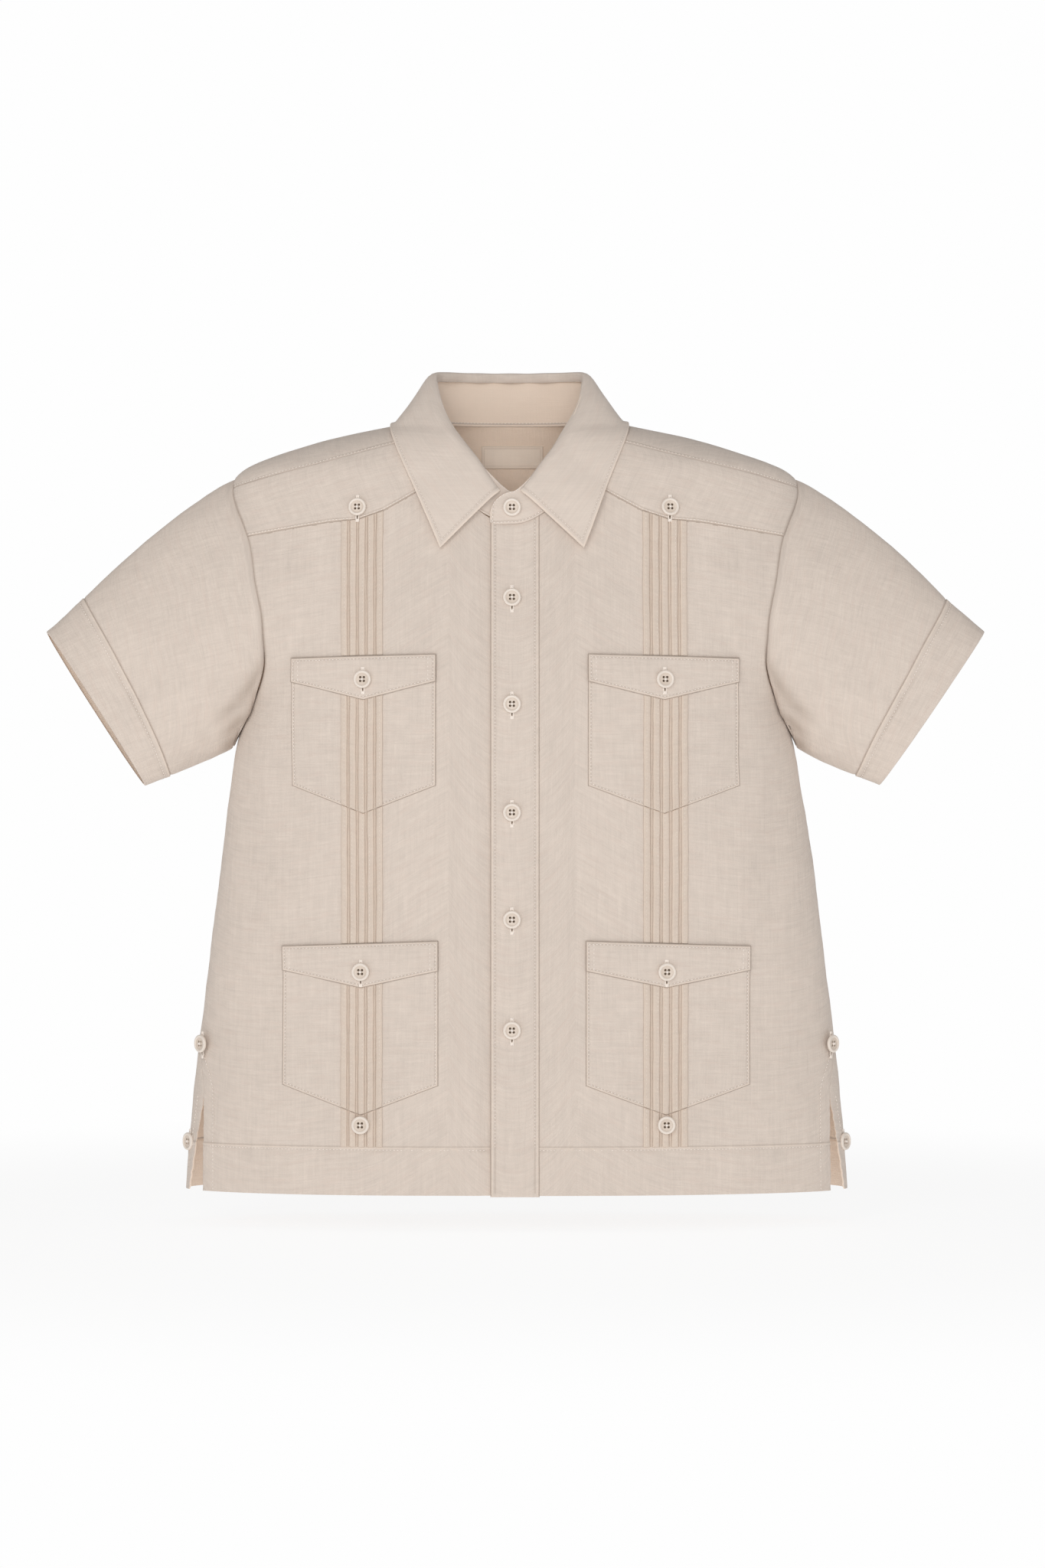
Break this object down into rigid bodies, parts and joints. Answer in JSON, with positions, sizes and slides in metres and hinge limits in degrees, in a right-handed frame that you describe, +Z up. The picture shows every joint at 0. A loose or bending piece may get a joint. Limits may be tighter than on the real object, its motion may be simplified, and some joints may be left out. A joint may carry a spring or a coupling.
{
  "type": "guayabera shirt",
  "caption": "Boy's short-sleeved guayabera in natural slubby linen, filled out: collar on a stand, pointed yokes, four flapped patch pockets, bands of tucks and buttoned side vents",
  "frame": {"origin": "middle of the neck, at the height where the shoulders carry the shirt", "axes": "+Z up, the front faces -Y, +X is the wearer's left"},
  "size_m": [0.6002, 0.1313, 0.5242],
  "materials": {
    "cloth": "matte slubby linen weave in natural beige",
    "tucks": "same linen, folded into flat tucks",
    "collar": "same linen, interlined and a little smoother",
    "buttons": "satin beige",
    "label": "plain woven satin"
  },
  "bodies": {
    "root": {"back": "cloth", "back_yoke": "cloth", "front_left": "cloth", "front_yoke_left": "cloth", "front_right": "cloth", "front_yoke_right": "cloth", "placket": "cloth", "tucks_top_left": "tucks", "tucks_middle_left": "tucks", "tucks_bottom_left": "tucks", "pocket_chest_left": "cloth", "flap_chest_left": "cloth", "tucks_chest_pocket_left": "tucks", "pocket_waist_left": "cloth", "flap_waist_left": "cloth", "tucks_waist_pocket_left": "tucks", "sleeve_left": "cloth", "sleeve_band_left": "cloth", "tucks_top_right": "tucks", "tucks_middle_right": "tucks", "tucks_bottom_right": "tucks", "pocket_chest_right": "cloth", "flap_chest_right": "cloth", "tucks_chest_pocket_right": "tucks", "pocket_waist_right": "cloth", "flap_waist_right": "cloth", "tucks_waist_pocket_right": "tucks", "sleeve_right": "cloth", "sleeve_band_right": "cloth", "collar_stand": "collar", "collar_leaf": "collar", "label": "label", "button_front_1": "buttons", "button_front_2": "buttons", "button_front_3": "buttons", "button_front_4": "buttons", "button_front_5": "buttons", "button_collar": "buttons", "button_yoke_left": "buttons", "button_chest_left": "buttons", "button_waist_left": "buttons", "button_point_left": "buttons", "button_vent_upper_left": "buttons", "button_vent_lower_left": "buttons", "button_yoke_right": "buttons", "button_chest_right": "buttons", "button_waist_right": "buttons", "button_point_right": "buttons", "button_vent_upper_right": "buttons", "button_vent_lower_right": "buttons"}
  },
  "joints": []
}
